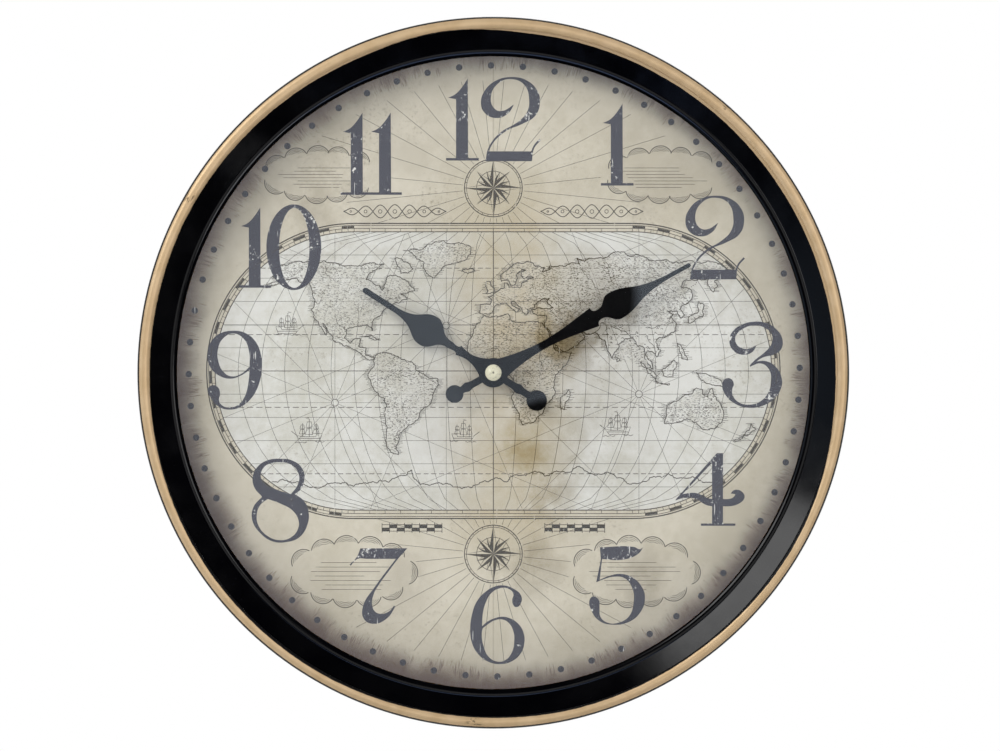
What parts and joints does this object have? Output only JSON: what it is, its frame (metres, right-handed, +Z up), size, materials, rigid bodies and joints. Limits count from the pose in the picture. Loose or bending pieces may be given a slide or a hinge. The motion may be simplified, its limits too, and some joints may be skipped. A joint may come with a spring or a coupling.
{
  "type": "round wall clock",
  "caption": "Round wall clock: gold rim, black stepped bezel, sepia map dial with bold numerals under flat glass, black spade hands, battery quartz movement set from the rear",
  "frame": {"origin": "point on the wall plane, at the rear rim's face, straight behind the hands' axis", "axes": "+Z up as the clock hangs, the dial faces -Y, +Y goes into the wall, +X to the viewer's right"},
  "size_m": [0.33, 0.0473, 0.33],
  "materials": {
    "gold_paint": "satin pale gold paint on a black moulded ring",
    "gloss_black": "gloss black moulding",
    "matte_black": "fine-textured black moulding",
    "clear_glass": "clear flat glass",
    "hardboard": "smooth brown hardboard",
    "print_paper": "matt printed paper, aged parchment colours",
    "hand_black": "semi-matt black paint on stamped sheet",
    "cap_cream": "pale cream lacquer on brass",
    "brass": "plain turned brass",
    "zinc_steel": "zinc-plated steel",
    "black_rubber": "soft black rubber",
    "white_nylon": "natural white nylon",
    "black_knob": "black knob with ridges",
    "magnet_grey": "sintered magnet",
    "soft_iron": "soft iron sheet",
    "copper_wire": "enamelled copper wire",
    "board_green": "circuit board laminate",
    "chip_resin": "drop of black resin",
    "cell_jacket": "plain printed jacket of a dry cell"
  },
  "bodies": {
    "case": {"gold_rim": "gold_paint", "bezel": "gloss_black", "rear_case": "matte_black", "case_screws": "zinc_steel", "glass_lens": "clear_glass", "spacer_ring": "matte_black", "dial_plate": "hardboard", "dial_sheet": "print_paper", "centre_bush": "brass", "hex_nut": "brass", "brass_washer": "brass", "rubber_washer": "black_rubber", "stud_clip": "zinc_steel", "movement_frame": "matte_black", "movement_lid": "matte_black", "train_plate": "white_nylon", "stator": "soft_iron", "coil_core": "soft_iron", "coil_bobbin": "white_nylon", "coil_winding": "copper_wire", "circuit_board": "board_green", "quartz_crystal": "zinc_steel", "chip_cover": "chip_resin", "contact_plus": "zinc_steel", "contact_minus": "zinc_steel"},
    "hour": {"hour_wheel": "white_nylon", "hour_hand": "hand_black", "hour_collet": "brass"},
    "minute": {"minute_shaft": "brass", "minute_hand": "hand_black", "hand_nut": "cap_cream", "clutch_washer": "zinc_steel"},
    "reverser": {"reverser_wheel": "white_nylon"},
    "setting": {"setting_knob": "black_knob"},
    "centre_drive": {"centre_wheel": "white_nylon"},
    "third": {"third_wheel": "white_nylon"},
    "second": {"second_wheel": "white_nylon"},
    "intermediate": {"intermediate_wheel": "white_nylon"},
    "rotor": {"rotor_pinion": "white_nylon", "rotor_magnet": "magnet_grey"},
    "cell": {"battery": "cell_jacket"}
  },
  "joints": [
    {"name": "minute_turn", "type": "hinge", "parent": "case", "child": "minute", "pos_m": [0, -0.015, 0], "axis": [0, 1, 0], "continuous": true},
    {"name": "hour_turn", "type": "hinge", "parent": "case", "child": "hour", "pos_m": [0, -0.015, 0], "axis": [0, 1, 0], "continuous": true},
    {"name": "reverser_turn", "type": "hinge", "parent": "case", "child": "reverser", "pos_m": [-0.0046, -0.015, 0.00386], "axis": [0, 1, 0], "continuous": true},
    {"name": "knob_turn", "type": "hinge", "parent": "case", "child": "setting", "pos_m": [-0.00919, -0.015, 0.00771], "axis": [0, 1, 0], "continuous": true},
    {"name": "intermediate_turn", "type": "hinge", "parent": "case", "child": "intermediate", "pos_m": [0.0019, -0.015, 0.0071], "axis": [0, 1, 0], "continuous": true},
    {"name": "rotor_turn", "type": "hinge", "parent": "case", "child": "rotor", "pos_m": [0.00648, -0.015, 0.01168], "axis": [0, 1, 0], "continuous": true},
    {"name": "second_turn", "type": "hinge", "parent": "case", "child": "second", "pos_m": [0, -0.015, 0], "axis": [0, 1, 0], "continuous": true},
    {"name": "third_turn", "type": "hinge", "parent": "case", "child": "third", "pos_m": [0.0072, -0.015, 0], "axis": [0, 1, 0], "continuous": true},
    {"name": "centre_turn", "type": "hinge", "parent": "case", "child": "centre_drive", "pos_m": [0, -0.015, 0], "axis": [0, 1, 0], "continuous": true},
    {"name": "battery_slide", "type": "slide", "parent": "case", "child": "cell", "axis": [0, 1, 0], "range_m": [0, 0.03]}
  ],
  "couplings": [
    {"joint": "hour_turn", "follows": "minute_turn", "ratio": 0.083333},
    {"joint": "reverser_turn", "follows": "minute_turn", "ratio": -0.33333},
    {"joint": "knob_turn", "follows": "minute_turn", "ratio": 1},
    {"joint": "rotor_turn", "follows": "intermediate_turn", "ratio": -5},
    {"joint": "second_turn", "follows": "intermediate_turn", "ratio": -0.16667},
    {"joint": "third_turn", "follows": "intermediate_turn", "ratio": 0.022222},
    {"joint": "centre_turn", "follows": "intermediate_turn", "ratio": -0.0027778}
  ]
}
